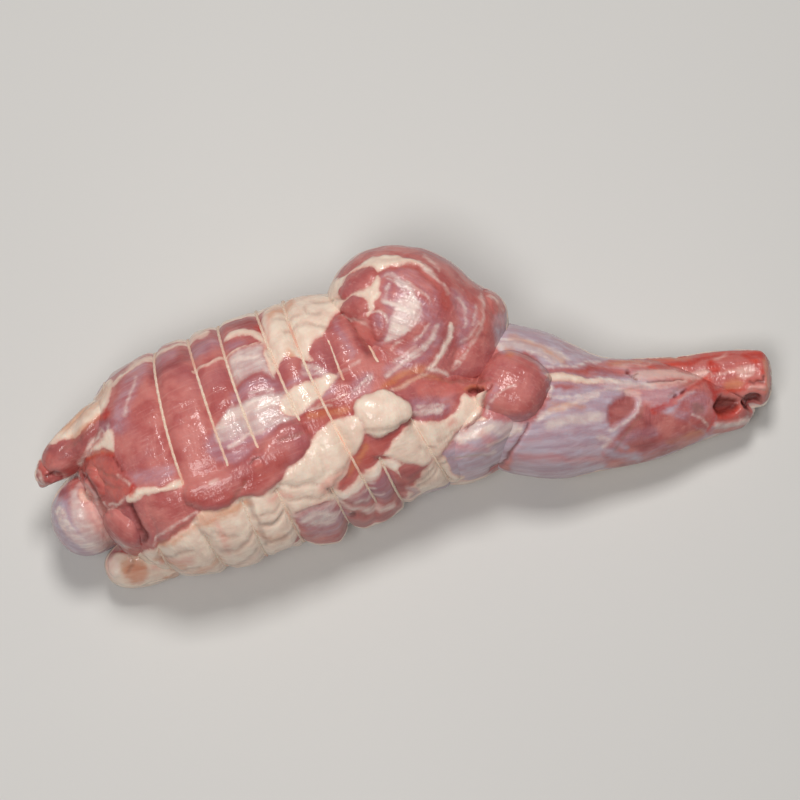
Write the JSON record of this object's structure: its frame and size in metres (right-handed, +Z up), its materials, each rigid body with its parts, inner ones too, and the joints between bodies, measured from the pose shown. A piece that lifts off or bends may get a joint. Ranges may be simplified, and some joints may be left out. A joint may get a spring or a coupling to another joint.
{
  "type": "raw leg of lamb",
  "caption": "Raw leg of lamb, boned thigh rolled and tied with butcher's twine, shank bone left on, lying on its side.",
  "frame": {"origin": "on the surface that the leg lies on, under the middle of the roll", "axes": "+Z up from the surface, +X along the leg from the rump end to the hock"},
  "size_m": [0.3894, 0.1488, 0.102],
  "materials": {
    "meat": "wet raw meat with cream fat",
    "bone": "wet pink bone and cartilage",
    "twine": "cream cotton twine, stained pink"
  },
  "bodies": {
    "root": {"leg_meat": "meat", "shank_bone": "bone", "tie_1": "twine", "tie_2": "twine", "tie_3": "twine", "tie_4": "twine", "tie_5": "twine", "tie_6": "twine", "tie_7": "twine", "tie_8": "twine"}
  },
  "joints": []
}
